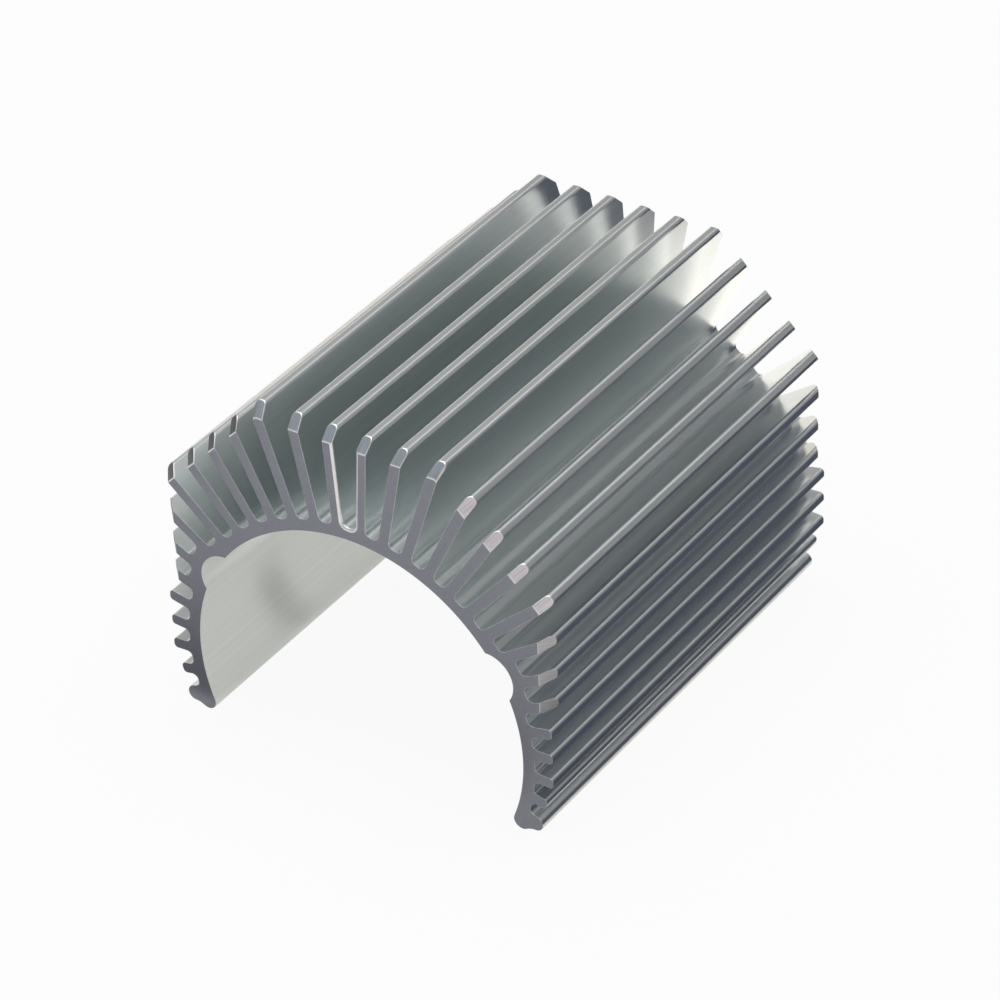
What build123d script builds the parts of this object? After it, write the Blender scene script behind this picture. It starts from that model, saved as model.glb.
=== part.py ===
from build123d import *

import os
from math import atan2, cos, degrees, hypot, radians, sin, sqrt, tan

# Heat sink that clips over a round motor can: one length of extruded aluminium, sawn off square.
# X runs across it, Y along the bore and Z up. The origin is on the bore's axis at mid-length.
# Sizes are in millimetres. Angles are in degrees, measured in the section from straight up.

# Sleeve, open downwards
length = 48.5
bore_radius = 18.0
wall = 1.25

# Fins, which all point at the bore's axis, with a gap between the two middle ones
fin_pitch = 7.45
fin_thickness = 1.1
tip_radius = 0.4
root_radius = 0.6
root_share = 0.48

# Flats that the fins of one side end on: how many fins, the way the flat faces, and how high
# it lies above the outside of the sleeve
top_fins = 3
top_height = 9.9
slant_fins = 4
slant_angle = 45
slant_height = 8.55
side_fins = 6
side_height = 1.95
low_fins = 1
low_angle = 105
low_height = 1.45

# Bevel milled off the fins at both ends, down to the first few of the side fins
bevel_depth = 1.2
bevel_run = 1.25
bevelled_side_fins = 3

# Grooves in the bore that clear the heads of the can's screws, with a thicker wall behind them
groove_angle = 60.6
groove_radius = 2.8
groove_depth = 1.33
groove_backing = 1.35
lip_radius = 0.12

# Feet: the rounded end of the sleeve, so many degrees past its last fin, and a stout round rib
# just before that end
end_lead = 10.1
end_radius = 0.9
foot_lead = 2.3
foot_height = 1.73
foot_radius = 0.8
foot_hollow_radius = 2.0

# Worked out from the sizes above
outside_radius = bore_radius + wall
top_reach = outside_radius + top_height
slant_reach = outside_radius + slant_height
side_reach = outside_radius + side_height
low_reach = outside_radius + low_height
foot_reach = outside_radius + foot_height - foot_radius
beyond = 2 * top_reach
groove_distance = bore_radius + groove_depth - groove_radius
backing_radius = groove_radius + groove_backing
slant_gap = top_fins
side_gap = slant_gap + slant_fins
low_gap = side_gap + side_fins
foot_gap = low_gap + low_fins
last_fin_angle = (foot_gap - 0.5) * fin_pitch
end_angle = last_fin_angle + end_lead
foot_angle = end_angle - foot_lead

# A gap is narrowest at its bottom, where each of its two rounded roots takes less than half of it.
gap_width = outside_radius * radians(fin_pitch) - fin_thickness
foot_gap_width = outside_radius * radians(foot_angle - last_fin_angle) - fin_thickness / 2 - foot_radius
root_round = min(root_radius, root_share * gap_width, root_share * foot_gap_width)


def at(radius, angle):
    """The point of the section at this radius, turned from straight up to the right."""
    return (radius * sin(radians(angle)), radius * cos(radians(angle)))


def floor_radius(gap):
    """How far from the axis the bottom of a gap lies: further out where it backs a groove."""
    turn = radians(gap * fin_pitch - groove_angle)
    aside = groove_distance * sin(turn)
    if abs(aside) >= backing_radius:
        return outside_radius
    return max(outside_radius, groove_distance * cos(turn) + sqrt(backing_radius**2 - aside**2))


def is_root(corner):
    """Whether a corner of the section is where a fin meets the bottom of a gap."""
    gap = round(degrees(atan2(abs(corner.X), corner.Y)) / fin_pitch)
    return gap <= foot_gap and abs(hypot(corner.X, corner.Y) - floor_radius(gap)) < 0.001


def is_lip(corner):
    """Whether a corner of the section is where a groove breaks out of the bore."""
    across, up = at(groove_distance, groove_angle)
    return abs(hypot(abs(corner.X) - across, corner.Y - up) - groove_radius) < 0.001


# Each run of right-hand fins is a fan of straight bars, cut off by the flat that they end on.
runs = []
for gap, fins, facing, reach in (
    (0, top_fins, 0, top_reach),
    (slant_gap, slant_fins, slant_angle, slant_reach),
    (side_gap, side_fins, 90, side_reach),
    (low_gap, low_fins, low_angle, low_reach),
):
    first_angle = (gap + 0.5) * fin_pitch
    with BuildSketch(Plane.XZ) as run:
        with PolarLocations(bore_radius, fins, 90 - first_angle, (1 - fins) * fin_pitch, endpoint=True):
            Rectangle(beyond, fin_thickness, align=(Align.MIN, Align.CENTER))
        Rectangle(2 * beyond, reach, -facing, align=(Align.CENTER, Align.MIN), mode=Mode.INTERSECT)
        fillet(run.vertices().filter_by(lambda corner: hypot(corner.X, corner.Y) > outside_radius), tip_radius)
    runs.append(run.sketch_local)

# The right-hand foot: two round lobes with a shallow hollow between them underneath, filled in
# between the lobes and the sleeve.
end_centre = Vector(*at(bore_radius + end_radius, end_angle))
foot_centre = Vector(*at(foot_reach, foot_angle))
with BuildSketch(Plane.XZ) as foot:
    with Locations(end_centre):
        Circle(end_radius)
    with Locations(foot_centre):
        Circle(foot_radius)
    crossings = foot.vertices().sort_by_distance((end_centre + foot_centre) / 2)[:2]
    fillet(crossings.sort_by(Axis.Y)[0], foot_hollow_radius)
    with PolarLocations(bore_radius, 1, 90 - foot_angle):
        Rectangle(foot_reach - bore_radius, foot_radius, align=(Align.MIN, Align.MIN))
    Polygon(end_centre, foot_centre, at(bore_radius, foot_angle), align=None)

# The milled bevels: one slanting cut along each flat at each end, from one gap to another. The cut
# on the slant also takes the outer corner off the last of the top fins. Each cutter is a prism three
# times as large as its bevel, so that it stands clear of the fins outside.
bevelled_gap = side_gap + bevelled_side_fins
with BuildPart() as bevels:
    for facing, reach, first_gap, last_gap in (
        (0, top_reach, -slant_gap, slant_gap),
        (slant_angle, slant_reach, slant_gap - 1, side_gap),
        (90, side_reach, side_gap, bevelled_gap),
    ):
        outwards = Vector(sin(radians(facing)), 0, cos(radians(facing)))
        along = Vector(cos(radians(facing)), 0, -sin(radians(facing)))
        start = reach * tan(radians(first_gap * fin_pitch - facing))
        stop = reach * tan(radians(last_gap * fin_pitch - facing))
        edge = outwards * reach + along * start + Vector(0, -length / 2, 0)
        with BuildSketch(Plane(edge, x_dir=outwards, z_dir=along)):
            Polygon(
                (-2 * bevel_depth, bevel_run),
                (bevel_depth, bevel_run),
                (bevel_depth, -2 * bevel_run),
                align=None,
            )
        extrude(amount=stop - start)
    mirror(about=Plane.YZ)
    mirror(about=Plane.XZ)

with BuildPart() as heat_sink:
    with BuildSketch(Plane.XZ) as section:
        add(runs)
        add(foot.sketch_local)
        # The wall behind a groove is stepped from fin to fin, so that each gap has its own floor.
        for gap in range(1, foot_gap):
            if floor_radius(gap) > outside_radius:
                with BuildLine():
                    floor = CenterArc((0, 0), floor_radius(gap), 90 - (gap + 0.5) * fin_pitch, fin_pitch)
                    Line((0, 0), floor @ 0)
                    Line((0, 0), floor @ 1)
                make_face()
        mirror(about=Plane.YZ)
        with BuildLine():
            outside = CenterArc((0, 0), outside_radius, 90 - end_angle, 2 * end_angle)
            Line((0, 0), outside @ 0)
            Line((0, 0), outside @ 1)
        make_face()
        Circle(bore_radius, mode=Mode.SUBTRACT)
        with Locations(at(groove_distance, groove_angle), at(groove_distance, -groove_angle)):
            Circle(groove_radius, mode=Mode.SUBTRACT)
        fillet(section.vertices().filter_by(is_root), root_round)
        fillet(section.vertices().filter_by(is_lip), lip_radius)
    extrude(amount=length / 2, both=True)
    add(bevels.part, mode=Mode.SUBTRACT)

heat_sink.part.label = "heat_sink"

os.makedirs("parts", exist_ok=True)
export_step(heat_sink.part, "parts/heat_sink.step")
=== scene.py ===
from functools import partial
from math import acos, atan2, cos, pi, radians, sin, sqrt, tan, tau

import bmesh
import bpy
from mathutils import Euler, Matrix, Vector


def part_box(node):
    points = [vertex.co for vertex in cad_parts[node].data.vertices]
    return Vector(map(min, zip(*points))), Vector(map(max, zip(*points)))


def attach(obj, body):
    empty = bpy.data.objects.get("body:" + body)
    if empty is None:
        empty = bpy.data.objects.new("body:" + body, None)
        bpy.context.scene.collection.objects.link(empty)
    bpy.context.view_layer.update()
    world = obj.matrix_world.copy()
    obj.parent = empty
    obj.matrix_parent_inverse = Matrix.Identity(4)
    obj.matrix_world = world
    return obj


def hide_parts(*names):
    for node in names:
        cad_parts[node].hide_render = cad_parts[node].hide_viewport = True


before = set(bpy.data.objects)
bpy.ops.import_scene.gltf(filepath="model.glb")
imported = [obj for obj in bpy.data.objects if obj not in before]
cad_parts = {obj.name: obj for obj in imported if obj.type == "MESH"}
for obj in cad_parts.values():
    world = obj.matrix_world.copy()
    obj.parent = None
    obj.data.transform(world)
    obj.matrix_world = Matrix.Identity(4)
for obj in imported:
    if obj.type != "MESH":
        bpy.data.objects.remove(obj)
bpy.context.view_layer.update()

MM = 0.001

# The heat sink's sizes, in millimetres and radians, as the solid has them. The tree that grows it
# takes these by name. A flat's First Fin is how many fins of each side come before its own, and its
# Reach is how far it lies from the bore's axis. Round Steps is how many straight steps a rounded
# corner is made of.
SIZES = {
    "Length": 48.5,
    "Outside Radius": 19.25,
    "Fins": 28,
    "Fin Pitch": radians(7.45),
    "Fin Thickness": 1.1,
    "Tip Radius": 0.4,
    "Root Radius": 0.6,
    "Round Steps": 6,
    "Top Facing": 0.0,
    "Top Reach": 29.15,
    "Slant First Fin": 3,
    "Slant Facing": radians(45),
    "Slant Reach": 27.8,
    "Side First Fin": 7,
    "Side Facing": radians(90),
    "Side Reach": 21.2,
    "Low First Fin": 13,
    "Low Facing": radians(105),
    "Low Reach": 20.7,
    "Groove Angle": radians(60.6),
    "Groove Distance": 16.53,
    "Backing Radius": 4.15,
    "Bevel Depth": 1.2,
    "Bevel Run": 1.25,
}

# Between which gaps, counted from the middle, each flat's bevel is cut, and how long and how thick the
# block that cuts it is
BEVELS = (("Top", 0, 3), ("Slant", 2, 7), ("Side", 7, 10))
BLOCK_LENGTH = 8.0
BLOCK_THICKNESS = 4.0

# The bore with its two grooves, and the feet below the last fins, also in millimetres and radians
BORE_RADIUS = 18.0
GROOVE_RADIUS = 2.8
LIP_RADIUS = 0.12
END_LEAD = radians(10.1)
END_RADIUS = 0.9
FOOT_LEAD = radians(2.3)
FOOT_HEIGHT = 1.73
FOOT_RADIUS = 0.8
HOLLOW_RADIUS = 2.0

# How many straight steps their arcs are made of: the two round lobes of a foot and the hollow between
# them, the bore from the foot up to a groove, the groove, and the bore from there to the top
LOBE_STEPS = 12
HOLLOW_STEPS = 5
LOWER_BORE_STEPS = 28
GROOVE_STEPS = 18
UPPER_BORE_STEPS = 36

# Points nearer to one another than this many millimetres are one point.
WELD = 0.001

# How much of a face's direction lies along the bar: more than SAWN_LEAN if it is sawn, and within
# MILLED_RANGE of MILLED_LEAN if it is milled
SAWN_LEAN = 0.99
MILLED_LEAN = 0.5
MILLED_RANGE = 0.4

# Camera: where it looks, and from where. Its lens is for a sensor 36 mm wide.
AIM = Vector((-0.11, 0, 8.1)) * MM
CAMERA_AZIMUTH = radians(34.5)
CAMERA_ELEVATION = radians(34.33)
CAMERA_ROLL = radians(-2.13)
CAMERA_DISTANCE = 426.3 * MM
SENSOR = 36
LENS = 162.6

# The floor, in metres, and how high the lowest cards are, in millimetres: just above the paper, so that
# the metal mirrors them and not what is under them
FLOOR_RADIUS = 3000 * MM
FLOOR_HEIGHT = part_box("heat_sink")[0].z
CARD_LIFT = 0.5
CARD_HEIGHT = FLOOR_HEIGHT / MM + CARD_LIFT

# Light, where 1 is white: the sky all round, how much of plain white is mixed into the paper as the
# camera sees it and as the metal mirrors it, and the card that shines white
SKY = 0.33
PAPER_GLOW = 0.92
PAPER_GLOW_IN_METAL = 0.4
CARD_GLOW = 1.3
# Light may go to and fro between two fins this many times on its way to the camera.
GLOSSY_BOUNCES = 12

# Soft lamps, all facing the heat sink: azimuth and elevation in degrees, measured as the camera's are,
# then distance, width and height in metres, how bright the lamp looks, where 1 is white, and its colour
LAMPS = (
    ("overhead_softbox", 180, 84, 0.7, 0.9, 0.6, 1.75, "#ffffff"),
    ("front_left_softbox", -41, 45, 0.8, 0.45, 0.45, 0.3, "#b6dcf6"),
    ("front_right_softbox", 40, 30, 0.8, 0.45, 0.45, 0.8, "#fff4f6"),
    ("back_left_strip", -135, 7, 0.8, 0.3, 0.12, 1.3, "#fff4e4"),
    ("back_strip", 178, 46, 0.8, 0.3, 0.04, 1.4, "#ffffff"),
    ("front_left_strip", -28, 6, 0.8, 0.4, 0.12, 1.2, "#ffffff"),
)

# Softened edges: this wide round the middle gap at the front, where the saw tore the metal. Every
# other edge of a cut has a share of it, larger round those bevels that face upwards more than
# FACING_UP, and hardly any elsewhere.
TORN_WIDTH = 0.28 * MM
MILLED_SHARE = 0.32
SAWN_SHARE = 0.08
EDGE_SEGMENTS = 2
FACING_UP = 0.1
# The middle gap's edges lie between the middles of the fins beside it, and above a height that is
# between the bore and the bottom of the gap.
HALF_MIDDLE_GAP = SIZES["Fin Pitch"] / 2
BELOW_GAP = 19 * MM

# Marks: how far apart the lines from the die, the saw's arcs and the cutter's marks lie, how coarse
# the saw's grain is, how large the patches are that its arcs show in, and how far apart the nicks on
# a rubbed edge lie. The lines, arcs, grain and marks are finer in the metal, and are drawn wide enough
# to show.
DIE_LINE = 0.5 * MM
SAW_MARK = 0.35 * MM
SAW_GRAIN = 0.2 * MM
SAW_PATCH = 6 * MM
CUTTER_MARK = 0.16 * MM
NICK = 0.5 * MM
# How many times as long as they are wide the die's lines and the cutter's marks are
DIE_STRETCH = 1000
CUTTER_STRETCH = 20
# How deep the bump makes the die's lines, and the marks of the saw and the cutter
DIE_DEPTH = 0.0002 * MM
CUT_DEPTH = 0.01 * MM
# The middle of the saw's blade, which its arcs go round
SAW_CENTRE = Vector((60, 0, 130)) * MM
# A wave texture's rings lie this far apart at a scale of 1.
WAVE = pi / 10

# The kind of node that works out a number
MATHS = "ShaderNodeMath"


def linear(hex_colour):
    """An sRGB hex colour as the linear colour that a shader takes."""
    shares = [int(hex_colour[i:i + 2], 16) / 255 for i in (1, 3, 5)]
    return [s / 12.92 if s <= 0.04045 else ((s + 0.055) / 1.055) ** 2.4 for s in shares] + [1]


def add_node(tree, kind, *inputs, **settings):
    """Adds a node. Its inputs are values, nodes or outputs, in order or by name in a dictionary."""
    node = tree.nodes.new(kind)
    for name, value in settings.items():
        setattr(node, name, value)
    for order, given in enumerate(inputs):
        for name, value in (given if isinstance(given, dict) else {order: given}).items():
            if isinstance(value, bpy.types.Node):
                value = value.outputs[0]
            if isinstance(value, bpy.types.NodeSocket):
                tree.links.new(value, node.inputs[name])
            else:
                node.inputs[name].default_value = value
    return node


def new_material(name):
    """A material with an empty tree, and add_node for that tree."""
    material = bpy.data.materials.new(name)
    material.use_nodes = True
    material.node_tree.nodes.clear()
    return material, partial(add_node, material.node_tree)


def place_camera():
    """The photograph's viewing angle."""
    data = bpy.data.cameras.new("photo_camera")
    data.sensor_width = SENSOR
    data.lens = LENS
    data.clip_start = 1 * MM
    camera = bpy.data.objects.new("photo_camera", data)
    bpy.context.scene.collection.objects.link(camera)
    turn = Euler((pi / 2 - CAMERA_ELEVATION, 0, CAMERA_AZIMUTH)).to_matrix()
    turn = turn @ Matrix.Rotation(CAMERA_ROLL, 3, "Z")
    camera.matrix_world = Matrix.Translation(AIM + turn.col[2] * CAMERA_DISTANCE) @ turn.to_4x4()
    bpy.context.scene.camera = camera


def face_sink(azimuth, elevation, distance):
    """The place of a thing that faces the heat sink."""
    turn = Euler((pi / 2 - radians(elevation), 0, radians(azimuth))).to_matrix()
    return Matrix.Translation(AIM + turn.col[2] * distance) @ turn.to_4x4()


def add_softbox(name, azimuth, elevation, distance, width, height, radiance, colour):
    """A rectangular soft lamp that faces the heat sink."""
    data = bpy.data.lights.new(name, "AREA")
    data.color = linear(colour)[:3]
    data.shape = "RECTANGLE"
    data.size = width
    data.size_y = height
    # A flat lamp gives off pi times its brightness from each part of its area.
    data.energy = radiance * pi * width * height
    lamp = bpy.data.objects.new(name, data)
    bpy.context.scene.collection.objects.link(lamp)
    lamp.matrix_world = face_sink(azimuth, elevation, distance)


def light_scene():
    """A plain studio: an even pale sky and soft lamps."""
    world = bpy.data.worlds.new("studio")
    bpy.context.scene.world = world
    world.use_nodes = True
    background = world.node_tree.nodes["Background"]
    background.inputs["Color"].default_value = (1, 1, 1, 1)
    background.inputs["Strength"].default_value = SKY
    for lamp in LAMPS:
        add_softbox(*lamp)


def card(name, hex_colour):
    """Matt card for painted shade: bare metal needs it beside it to have dark sides on a white floor."""
    material, add = new_material(name)
    matt = add("ShaderNodeBsdfDiffuse", {"Color": linear(hex_colour)})
    add("ShaderNodeOutputMaterial", {"Surface": matt})
    return material


def white_card():
    """Card that shines white, where the metal shows the bright room behind it: a painted reflection, not
    a lamp.
    """
    material, add = new_material("white_card")
    glow = add("ShaderNodeEmission", {"Color": linear("#fffcf4"), "Strength": CARD_GLOW})
    add("ShaderNodeOutputMaterial", {"Surface": glow})
    return material


def white_paper():
    """Matt white paper, bright enough to look white, with the heat sink's soft shadow on it."""
    material, add = new_material("white_paper")
    rays = add("ShaderNodeLightPath")
    in_metal = add(MATHS, rays.outputs["Is Glossy Ray"], rays.outputs["Is Transmission Ray"],
                   operation="MAXIMUM")
    in_metal = add(MATHS, in_metal, PAPER_GLOW_IN_METAL, operation="MULTIPLY")
    in_view = add(MATHS, rays.outputs["Is Camera Ray"], PAPER_GLOW, operation="MULTIPLY")
    share = add(MATHS, in_metal, in_view, operation="MAXIMUM")
    paper = add("ShaderNodeBsdfDiffuse", {"Color": linear("#f7f7f7")})
    white = add("ShaderNodeMix", {"Factor": rays.outputs["Is Camera Ray"], "A": linear("#fffcf4"),
                                  "B": (1, 1, 1, 1)}, data_type="RGBA")
    glow = add("ShaderNodeEmission", {"Color": white.outputs["Result"], "Strength": 1})
    mix = add("ShaderNodeMixShader", share, paper, glow)
    add("ShaderNodeOutputMaterial", {"Surface": mix})
    return material


def lay_floor():
    """A sheet of white paper under the heat sink, as far as one can see."""
    mesh = bpy.data.meshes.new("floor")
    shape = bmesh.new()
    bmesh.ops.create_circle(shape, cap_ends=True, segments=64, radius=FLOOR_RADIUS)
    bmesh.ops.translate(shape, verts=shape.verts, vec=(0, 0, FLOOR_HEIGHT))
    shape.to_mesh(mesh)
    shape.free()
    mesh.materials.append(white_paper())
    floor = bpy.data.objects.new("floor", mesh)
    bpy.context.scene.collection.objects.link(floor)


def lying(left, front, right, back):
    """The corners of a card that lies flat, just above the floor."""
    return [(left, front, CARD_HEIGHT), (right, front, CARD_HEIGHT),
            (right, back, CARD_HEIGHT), (left, back, CARD_HEIGHT)]


def standing(start, end, bottom, top):
    """The corners of an upright card above a line on the floor."""
    return [(*start, bottom), (*start, top), (*end, top), (*end, bottom)]


def add_flag(name, corners, material):
    """A card that only the metal's reflections show, painting shade and light into them."""
    mesh = bpy.data.meshes.new(name)
    mesh.from_pydata([Vector(corner) * MM for corner in corners], [], [(0, 1, 2, 3)])
    mesh.materials.append(material)
    flag = bpy.data.objects.new(name, mesh)
    bpy.context.scene.collection.objects.link(flag)
    flag.visible_camera = False
    flag.visible_diffuse = False
    flag.visible_transmission = False
    flag.visible_shadow = False


def place_flags():
    """The cards round the heat sink, with their places in millimetres: the dark, grey and pale ones are
    painted shade, and the white one is a painted reflection of a bright room.
    """
    dark = card("dark_card", "#555a68")
    grey = card("grey_card", "#7a7b7e")
    light_grey = card("light_grey_card", "#98999c")
    pale = card("pale_card", "#f4f4f2")
    for name, corners, material in (
        ("floor_flag", lying(21, -34.5, 160, 160), dark),
        ("back_right_flag", standing((160, 60), (20, 220), CARD_HEIGHT, 40), dark),
        ("back_card", lying(-40, 34, 20, 120), white_card()),
        ("back_right_upper_flag", standing((160, 60), (20, 220), 82, 118), light_grey),
        ("bore_flag", lying(-12.5, -7, -7.5, -3), pale),
        ("left_flag", standing((-150, -60), (-150, 60), CARD_HEIGHT, 60), grey),
        ("left_floor_flag", lying(-62, -30, -38, 10), grey),
        ("front_flag", lying(-60, -38, 14, -25.5), light_grey),
    ):
        add_flag(name, corners, material)


def extruded_aluminium():
    """Bare extruded aluminium: the die leaves it bright, with faint lines along its length."""
    material, add = new_material("extruded_aluminium")
    place = add("ShaderNodeTexCoord")
    stretch = add("ShaderNodeMapping", {"Vector": place.outputs["Object"],
                                        "Scale": (1, 1 / DIE_STRETCH, 1)})
    lines = add("ShaderNodeTexNoise", {"Vector": stretch, "Scale": 1 / DIE_LINE, "Detail": 2})
    colour = add("ShaderNodeMix", {"Factor": lines, "A": linear("#e5e9e9"), "B": linear("#f5f8f8")},
                 data_type="RGBA")
    dull = add("ShaderNodeMapRange", {"Value": lines, "To Min": 0.27, "To Max": 0.3})
    bump = add("ShaderNodeBump", {"Height": lines, "Distance": DIE_DEPTH})
    metal = add("ShaderNodeBsdfPrincipled", {"Base Color": colour.outputs["Result"], "Metallic": 1,
                                             "Roughness": dull, "Normal": bump})
    add("ShaderNodeOutputMaterial", {"Surface": metal})
    return material


def sawn_aluminium():
    """Aluminium cut by a circular saw: dull and darker, with fine arcs left across it by the teeth."""
    material, add = new_material("sawn_aluminium")
    place = add("ShaderNodeTexCoord")
    centre = add("ShaderNodeMapping", {"Vector": place.outputs["Object"],
                                       "Location": [-part for part in SAW_CENTRE]})
    arcs = add("ShaderNodeTexWave", {"Vector": centre, "Scale": WAVE / SAW_MARK, "Distortion": 2,
                                     "Detail": 3, "Detail Scale": 0.4},
               wave_type="RINGS", rings_direction="Y")
    grain = add("ShaderNodeTexNoise", {"Vector": place.outputs["Object"], "Scale": 1 / SAW_GRAIN,
                                       "Detail": 3})
    patches = add("ShaderNodeTexNoise", {"Vector": place.outputs["Object"], "Scale": 1 / SAW_PATCH})
    shown = add("ShaderNodeMapRange", {"Value": patches, "From Min": 0.5, "From Max": 0.75,
                                       "To Max": 0.8})
    marks = add("ShaderNodeMix", {"Factor": shown, "A": 0.5, "B": arcs})
    height = add("ShaderNodeMix", {"Factor": 0.6, "A": marks, "B": grain})
    colour = add("ShaderNodeMix", {"Factor": height, "A": linear("#7d7f8a"), "B": linear("#a2a4ad")},
                 data_type="RGBA")
    bump = add("ShaderNodeBump", {"Height": height, "Distance": CUT_DEPTH})
    metal = add("ShaderNodeBsdfPrincipled", {"Base Color": colour.outputs["Result"], "Metallic": 1,
                                             "Roughness": 0.5, "Normal": bump})
    add("ShaderNodeOutputMaterial", {"Surface": metal})
    return material


def milled_aluminium():
    """Aluminium cut by a milling cutter: silky, with fine straight marks that run up each bevel."""
    material, add = new_material("milled_aluminium")
    place = add("ShaderNodeUVMap", uv_map="cut")
    marks = add("ShaderNodeTexNoise", {"Vector": place, "Scale": 1, "Detail": 2})
    colour = add("ShaderNodeMix", {"Factor": marks, "A": linear("#a3a2a4"), "B": linear("#d8d6d8")},
                 data_type="RGBA")
    bump = add("ShaderNodeBump", {"Height": marks, "Distance": CUT_DEPTH})
    metal = add("ShaderNodeBsdfPrincipled", {"Base Color": colour.outputs["Result"], "Metallic": 1,
                                             "Roughness": 0.3, "Normal": bump})
    add("ShaderNodeOutputMaterial", {"Surface": metal})
    return material


def rubbed_aluminium():
    """Aluminium rubbed bright along a cut, to take off its burr: a thin rim that catches the light."""
    material, add = new_material("rubbed_aluminium")
    place = add("ShaderNodeTexCoord")
    nicks = add("ShaderNodeTexNoise", {"Vector": place.outputs["Object"], "Scale": 1 / NICK,
                                       "Detail": 2})
    colour = add("ShaderNodeMix", {"Factor": nicks, "A": linear("#dcdde0"), "B": linear("#fafafa")},
                 data_type="RGBA")
    metal = add("ShaderNodeBsdfPrincipled", {"Base Color": colour.outputs["Result"], "Metallic": 1,
                                             "Roughness": 0.35})
    add("ShaderNodeOutputMaterial", {"Surface": metal})
    return material


def at(radius, angle, aside=0):
    """The point of the section at this radius, turned from straight up to the right, and then aside."""
    return Vector((radius * sin(angle) + aside * cos(angle), radius * cos(angle) - aside * sin(angle)))


def heading(way):
    """How far a direction of the section is turned from straight up to the right."""
    return atan2(way.x, way.y)


def arc(centre, radius, start, stop, steps):
    """The points of an arc, all but its first."""
    return [centre + at(radius, start + (stop - start) * step / steps) for step in range(1, steps + 1)]


def foot_line(last_fin, end_angle):
    """From the last fin's root on the right, round the foot, to the bore: points and their rounding."""
    outside, root = SIZES["Outside Radius"], SIZES["Root Radius"]
    half_fin = SIZES["Fin Thickness"] / 2
    foot_angle = end_angle - FOOT_LEAD
    end = at(BORE_RADIUS + END_RADIUS, end_angle)
    foot = at(outside + FOOT_HEIGHT - FOOT_RADIUS, foot_angle)
    # The hollow under the foot is an arc that touches both round lobes from below.
    span = foot - end
    to_end, to_foot = END_RADIUS + HOLLOW_RADIUS, FOOT_RADIUS + HOLLOW_RADIUS
    along = (to_end ** 2 - to_foot ** 2 + span.length ** 2) / (2 * span.length)
    below = Vector((span.y, -span.x)).normalized() * sqrt(to_end ** 2 - along ** 2)
    hollow = end + span.normalized() * along + below
    corners = [(at(sqrt(outside ** 2 - half_fin ** 2), last_fin, half_fin), root),
               (at(sqrt(outside ** 2 - FOOT_RADIUS ** 2), foot_angle, -FOOT_RADIUS), root)]
    smooth = [foot + at(FOOT_RADIUS, foot_angle - pi / 2)]
    smooth += arc(foot, FOOT_RADIUS, foot_angle - pi / 2, heading(hollow - foot) % tau, LOBE_STEPS)
    smooth += arc(hollow, HOLLOW_RADIUS, heading(foot - hollow), heading(end - hollow), HOLLOW_STEPS)
    smooth += arc(end, END_RADIUS, heading(hollow - end) % tau, end_angle + pi, LOBE_STEPS)
    return corners + [(point, 0) for point in smooth]


def sleeve_line():
    """The section's line from the last fin's root on the right, through the bore, to the left one."""
    last_fin = (SIZES["Fins"] - 1) / 2 * SIZES["Fin Pitch"]
    end_angle = last_fin + END_LEAD
    line = foot_line(last_fin, end_angle)
    away, middle = SIZES["Groove Distance"], SIZES["Groove Angle"]
    half_mouth = acos((BORE_RADIUS ** 2 + away ** 2 - GROOVE_RADIUS ** 2) / (2 * BORE_RADIUS * away))
    half_groove = acos((BORE_RADIUS * cos(half_mouth) - away) / GROOVE_RADIUS)
    axis, groove = Vector((0, 0)), at(away, middle)
    for points, last_rounding in (
        (arc(axis, BORE_RADIUS, end_angle, middle + half_mouth, LOWER_BORE_STEPS), LIP_RADIUS),
        (arc(groove, GROOVE_RADIUS, middle + half_groove, middle - half_groove, GROOVE_STEPS),
         LIP_RADIUS),
        (arc(axis, BORE_RADIUS, middle - half_mouth, 0, UPPER_BORE_STEPS), 0),
    ):
        line += [(point, 0) for point in points[:-1]] + [(points[-1], last_rounding)]
    return line + [(Vector((-point.x, point.y)), rounding) for point, rounding in reversed(line[:-1])]


def bevel_cuts():
    """Each bevel: its middle on the rim that it cuts off, the way its flat faces, its end and extent."""
    cuts = []
    for flat, first_gap, last_gap in BEVELS:
        facing, reach = SIZES[flat + " Facing"], SIZES[flat + " Reach"]
        start, stop = (reach * tan(gap * SIZES["Fin Pitch"] - facing) for gap in (first_gap, last_gap))
        middle = at(reach, facing, (start + stop) / 2)
        for hand in (1, -1):
            for end in (-1, 1):
                spot = (hand * middle.x, end * SIZES["Length"] / 2, middle.y)
                cuts.append((spot, hand * facing, end, stop - start))
    return cuts


def draw_outline():
    """The mesh that the tree starts from: the sleeve's line, lying flat, and a point for each bevel."""
    line = sleeve_line()
    cuts = bevel_cuts()
    mesh = bpy.data.meshes.new("outline")
    mesh.from_pydata([(*point, 0) for point, _ in line] + [cut[0] for cut in cuts],
                     [(first, first + 1) for first in range(len(line) - 1)], [])
    rows = [(rounding, 0, 0, 0) for _, rounding in line] + [(0, *cut[1:]) for cut in cuts]
    for name, values in zip(("round", "facing", "end", "extent"), zip(*rows)):
        mesh.attributes.new(name, "FLOAT", "POINT").data.foreach_set("value", values)
    return mesh


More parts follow.
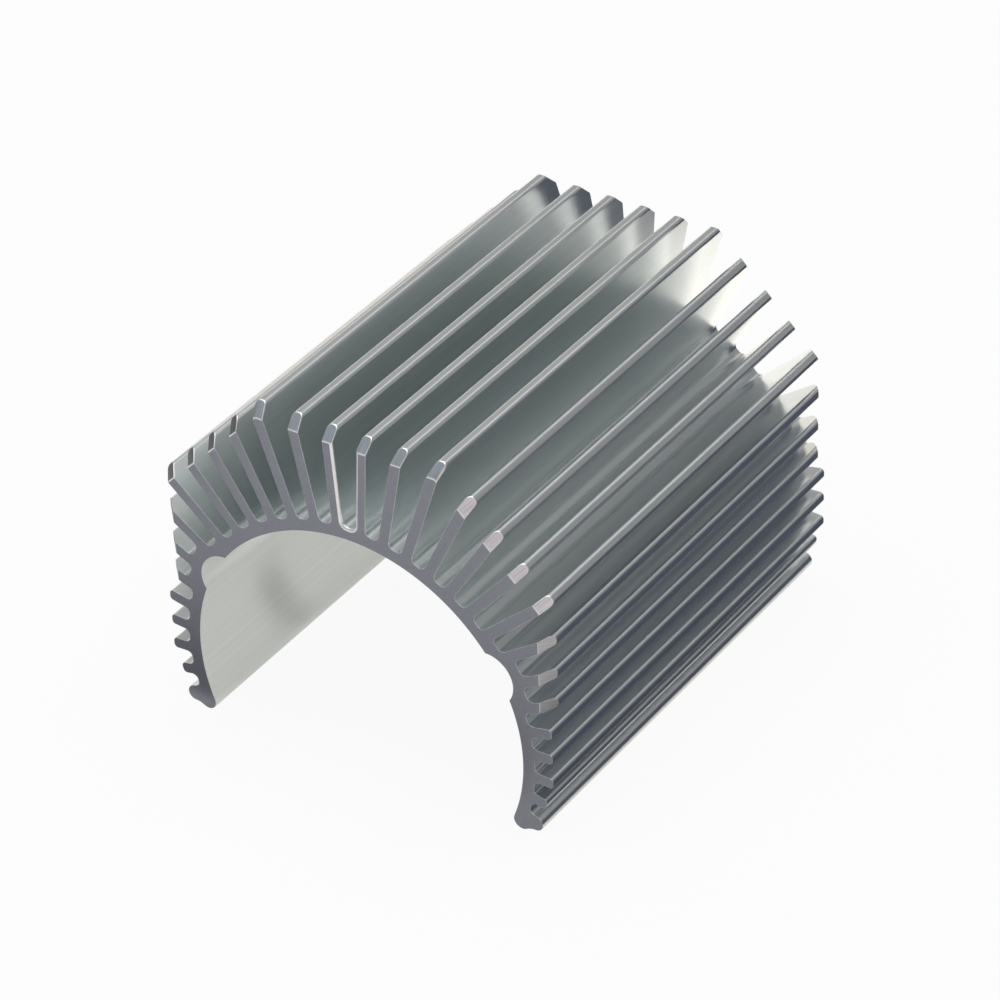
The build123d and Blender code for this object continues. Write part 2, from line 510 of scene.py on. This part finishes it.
def grow_fins(tree, size):
    """The line round all the fins from left to right, in the order in which it passes their corners."""
    add = partial(add_node, tree)
    # A fin has four corners: 0 is the root on its left, 1 and 2 are its tip, and 3 is its other root.
    corners, between_tips = 4, 1.5
    index = add("GeometryNodeInputIndex")
    fin = add(MATHS, add(MATHS, index, corners, operation="DIVIDE"), operation="FLOOR")
    corner = add(MATHS, index, corners, operation="MODULO")
    second_side = add(MATHS, corner, between_tips, operation="GREATER_THAN")
    at_tip = add(MATHS, corner, between_tips, 1, operation="COMPARE")
    aside = add(MATHS, add(MATHS, second_side, 0.5, operation="SUBTRACT"), size["Fin Thickness"],
                operation="MULTIPLY")
    middle = add(MATHS, add(MATHS, size["Fins"], 1, operation="SUBTRACT"), 0.5, operation="MULTIPLY")
    place = add(MATHS, fin, middle, operation="SUBTRACT")
    angle = add(MATHS, place, size["Fin Pitch"], operation="MULTIPLY")

    # A tip lies where the fin's side meets the flat that this fin ends on.
    out_from_middle = add(MATHS, place, operation="ABSOLUTE")
    facing, reach = size["Top Facing"], size["Top Reach"]
    for flat in ("Slant", "Side", "Low"):
        past = add(MATHS, out_from_middle, size[flat + " First Fin"], operation="GREATER_THAN")
        facing = add("ShaderNodeMix", {"Factor": past, "A": facing, "B": size[flat + " Facing"]})
        reach = add("ShaderNodeMix", {"Factor": past, "A": reach, "B": size[flat + " Reach"]})
    hand = add(MATHS, place, operation="SIGN")
    lean = add(MATHS, add(MATHS, facing, hand, operation="MULTIPLY"), angle, operation="SUBTRACT")
    short_of = add(MATHS, aside, add(MATHS, lean, operation="SINE"), operation="MULTIPLY")
    tip = add(MATHS, add(MATHS, reach, short_of, operation="SUBTRACT"),
              add(MATHS, lean, operation="COSINE"), operation="DIVIDE")

    # A root lies on the outside of the sleeve, or further out where the wall backs a groove.
    gap = add(MATHS, add(MATHS, place, second_side, operation="ADD"), 0.5, operation="SUBTRACT")
    gap_angle = add(MATHS, add(MATHS, gap, operation="ABSOLUTE"), size["Fin Pitch"],
                    operation="MULTIPLY")
    turn = add(MATHS, gap_angle, size["Groove Angle"], operation="SUBTRACT")
    off_line = add(MATHS, size["Groove Distance"], add(MATHS, turn, operation="SINE"),
                   operation="MULTIPLY")
    on_line = add(MATHS, size["Groove Distance"], add(MATHS, turn, operation="COSINE"),
                  operation="MULTIPLY")
    backing = add(MATHS, add(MATHS, size["Backing Radius"], 2, operation="POWER"),
                  add(MATHS, off_line, off_line, operation="MULTIPLY"), operation="SUBTRACT")
    backing = add(MATHS, add(MATHS, backing, 0, operation="MAXIMUM"), operation="SQRT")
    bulge = add(MATHS, on_line, backing, operation="ADD")
    floor = add(MATHS, size["Outside Radius"], bulge, operation="MAXIMUM")
    root = add(MATHS, add(MATHS, floor, 2, operation="POWER"),
               add(MATHS, aside, aside, operation="MULTIPLY"), operation="SUBTRACT")
    root = add(MATHS, root, operation="SQRT")

    height = add("ShaderNodeMix", {"Factor": at_tip, "A": root, "B": tip})
    upright = add("ShaderNodeCombineXYZ", aside, height)
    clockwise = add(MATHS, angle, -1, operation="MULTIPLY")
    spot = add("ShaderNodeVectorRotate", {"Vector": upright, "Angle": clockwise}, rotation_type="Z_AXIS")
    all_corners = add(MATHS, size["Fins"], corners, operation="MULTIPLY")
    line = add("GeometryNodeMeshLine", {"Count": all_corners})
    fins = add("GeometryNodeSetPosition", {"Geometry": line, "Position": spot})
    rounding = add("ShaderNodeMix", {"Factor": at_tip, "A": size["Root Radius"],
                                     "B": size["Tip Radius"]})
    return add("GeometryNodeStoreNamedAttribute", {"Geometry": fins, "Name": "round", "Value": rounding})


def joined(tree, *parts):
    """Parts welded into one where they touch."""
    join = add_node(tree, "GeometryNodeJoinGeometry")
    for part in parts:
        tree.links.new(part, join.inputs[0])
    return add_node(tree, "GeometryNodeMergeByDistance", {"Geometry": join, "Distance": WELD})


def extrude_section(tree, size, fins):
    """The whole section, its corners rounded and filled, drawn out to its length and stood up."""
    add = partial(add_node, tree)
    curve = add("GeometryNodeMeshToCurve", joined(tree, fins.outputs[0], size["Geometry"]))
    rounding = add("GeometryNodeInputNamedAttribute", {"Name": "round"})
    outline = add("GeometryNodeFilletCurve",
                  {"Curve": curve, "Count": size["Round Steps"], "Radius": rounding}, mode="POLY")
    section = add("GeometryNodeFillCurve", outline, mode="NGONS")
    drawn = add("GeometryNodeExtrudeMesh", {"Mesh": section, "Offset": (0, 0, 1),
                                            "Offset Scale": size["Length"], "Individual": False})
    near_end = add("GeometryNodeFlipFaces", section)
    bar = joined(tree, drawn.outputs[0], near_end.outputs[0])
    half = add(MATHS, size["Length"], 0.5, operation="MULTIPLY")
    centred = add("ShaderNodeCombineXYZ", {"Y": half})
    return add("GeometryNodeTransform", {"Geometry": bar, "Translation": centred,
                                         "Rotation": (pi / 2, 0, 0)})


def place_cutters(tree, size):
    """A block on each loose point, leaning so that its underside is the bevel that it leaves."""
    add = partial(add_node, tree)
    slope = add(MATHS, size["Bevel Depth"], size["Bevel Run"], operation="ARCTAN2")
    below_rim = add(MATHS, size["Bevel Depth"], add(MATHS, slope, operation="COSINE"),
                    operation="MULTIPLY")
    lift = add(MATHS, BLOCK_THICKNESS / 2, below_rim, operation="SUBTRACT")
    lift = add("ShaderNodeCombineXYZ", {"Z": lift})
    cube = add("GeometryNodeMeshCube", {"Size": (1, BLOCK_LENGTH, BLOCK_THICKNESS)})
    block = add("GeometryNodeTransform", {"Geometry": cube, "Translation": lift})
    facing, end, extent = (add("GeometryNodeInputNamedAttribute", {"Name": name})
                           for name in ("facing", "end", "extent"))
    lean = add(MATHS, add(MATHS, end, slope, operation="MULTIPLY"), -1, operation="MULTIPLY")
    turn = add("ShaderNodeCombineXYZ", lean, facing)
    stretch = add("ShaderNodeCombineXYZ", extent, 1, 1)
    return add("GeometryNodeInstanceOnPoints", {"Points": size["Geometry"], "Selection": extent,
                                                "Instance": block, "Rotation": turn, "Scale": stretch})


def sink_tree():
    """Grows the heat sink: its fins, its section, the extruded bar, the bevels and the finishes."""
    tree = bpy.data.node_groups.new("grow_heat_sink", "GeometryNodeTree")
    tree.interface.new_socket("Geometry", in_out="INPUT", socket_type="NodeSocketGeometry")
    for name, value in SIZES.items():
        kind = "NodeSocketInt" if isinstance(value, int) else "NodeSocketFloat"
        tree.interface.new_socket(name, in_out="INPUT", socket_type=kind)
    tree.interface.new_socket("Geometry", in_out="OUTPUT", socket_type="NodeSocketGeometry")
    size = tree.nodes.new("NodeGroupInput").outputs
    add = partial(add_node, tree)
    bar = extrude_section(tree, size, grow_fins(tree, size))
    milled = add("GeometryNodeMeshBoolean", {"Mesh 1": bar, "Mesh 2": place_cutters(tree, size)},
                 operation="DIFFERENCE", solver="EXACT")
    metres = add("GeometryNodeTransform", {"Geometry": milled, "Scale": (MM, MM, MM)})
    sink = add("GeometryNodeRealizeInstances", metres)
    # Faces across the bar are sawn, and those that lean along it are milled.
    normal = add("ShaderNodeSeparateXYZ", add("GeometryNodeInputNormal"))
    lean = add(MATHS, normal.outputs["Y"], operation="ABSOLUTE")
    across = add(MATHS, lean, SAWN_LEAN, operation="GREATER_THAN")
    leaning = add(MATHS, lean, MILLED_LEAN, MILLED_RANGE, operation="COMPARE")
    for material, where in ((extruded_aluminium(), True), (sawn_aluminium(), across),
                            (milled_aluminium(), leaning)):
        sink = add("GeometryNodeSetMaterial", {"Geometry": sink, "Selection": where,
                                               "Material": material})
    add("NodeGroupOutput", sink)
    return tree


def grown_mesh():
    """The plain mesh that the tree grows from the outline."""
    seed = bpy.data.objects.new("outline", draw_outline())
    bpy.context.scene.collection.objects.link(seed)
    tree = sink_tree()
    growth = seed.modifiers.new("grow_heat_sink", "NODES")
    growth.node_group = tree
    for socket in tree.interface.items_tree:
        if socket.name in SIZES:
            growth[socket.identifier] = SIZES[socket.name]
    graph = bpy.context.evaluated_depsgraph_get()
    mesh = bpy.data.meshes.new_from_object(seed.evaluated_get(graph))
    bpy.data.objects.remove(seed)
    return mesh


def edge_share(edge, milled):
    """How wide an edge is softened, as a share of the torn edge's width: nothing within one finish."""
    finishes = {face.material_index: face.normal.z for face in edge.link_faces}
    if len(finishes) < 2:
        return 0
    if finishes.get(milled, 0) > FACING_UP:
        return MILLED_SHARE
    middle = (edge.verts[0].co + edge.verts[1].co) / 2
    in_middle_gap = middle.z > BELOW_GAP and abs(atan2(middle.x, middle.z)) < HALF_MIDDLE_GAP
    return 1 if in_middle_gap and middle.y < 0 else SAWN_SHARE


def lay_out_cuts(shape, milled):
    """A UV map on each bevel, where one unit is one mark of the cutter, across it and along it."""
    cut = shape.loops.layers.uv.new("cut")
    for face in shape.faces:
        if face.material_index == milled:
            across = face.normal.cross((0, 1, 0)).normalized()
            up = face.normal.cross(across)
            for loop in face.loops:
                spot = loop.vert.co
                loop[cut].uv = (spot.dot(across) / CUTTER_MARK,
                                spot.dot(up) / (CUTTER_STRETCH * CUTTER_MARK))


def mark_out(mesh):
    """Smooth shading, how wide each edge is to be softened, and the map of the cutter's marks."""
    milled = mesh.materials.find("milled_aluminium")
    shape = bmesh.new()
    shape.from_mesh(mesh)
    for face in shape.faces:
        face.smooth = True
    weight = shape.edges.layers.float.new("bevel_weight_edge")
    for edge in shape.edges:
        edge[weight] = edge_share(edge, milled)
    lay_out_cuts(shape, milled)
    shape.to_mesh(mesh)
    shape.free()


def soften_edges(piece):
    """The piece with its marked edges rubbed round and bright, as a plain mesh."""
    piece.data.materials.append(rubbed_aluminium())
    soften = piece.modifiers.new("soft_edges", "BEVEL")
    soften.limit_method = "WEIGHT"
    soften.width = TORN_WIDTH
    soften.segments = EDGE_SEGMENTS
    # The shortest steps of a rounded corner would hold every edge to their own length.
    soften.use_clamp_overlap = False
    soften.harden_normals = False
    soften.material = len(piece.data.materials) - 1
    even = piece.modifiers.new("even_shading", "WEIGHTED_NORMAL")
    even.keep_sharp = True
    graph = bpy.context.evaluated_depsgraph_get()
    softened = bpy.data.meshes.new_from_object(piece.evaluated_get(graph))
    piece.modifiers.clear()
    piece.data = softened


def finish_heat_sink():
    """The heat sink grown to shape, with its sawn and milled edges softened."""
    mesh = grown_mesh()
    # The tree leaves an empty slot before those of the finishes.
    mesh.materials.pop(index=0)
    mark_out(mesh)
    piece = bpy.data.objects.new("finned_sink", mesh)
    bpy.context.scene.collection.objects.link(piece)
    soften_edges(piece)
    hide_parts("heat_sink")
    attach(piece, "root")


bpy.context.scene.view_settings.view_transform = "Standard"
bpy.context.scene.cycles.glossy_bounces = GLOSSY_BOUNCES
place_camera()
light_scene()
lay_floor()
place_flags()
finish_heat_sink()
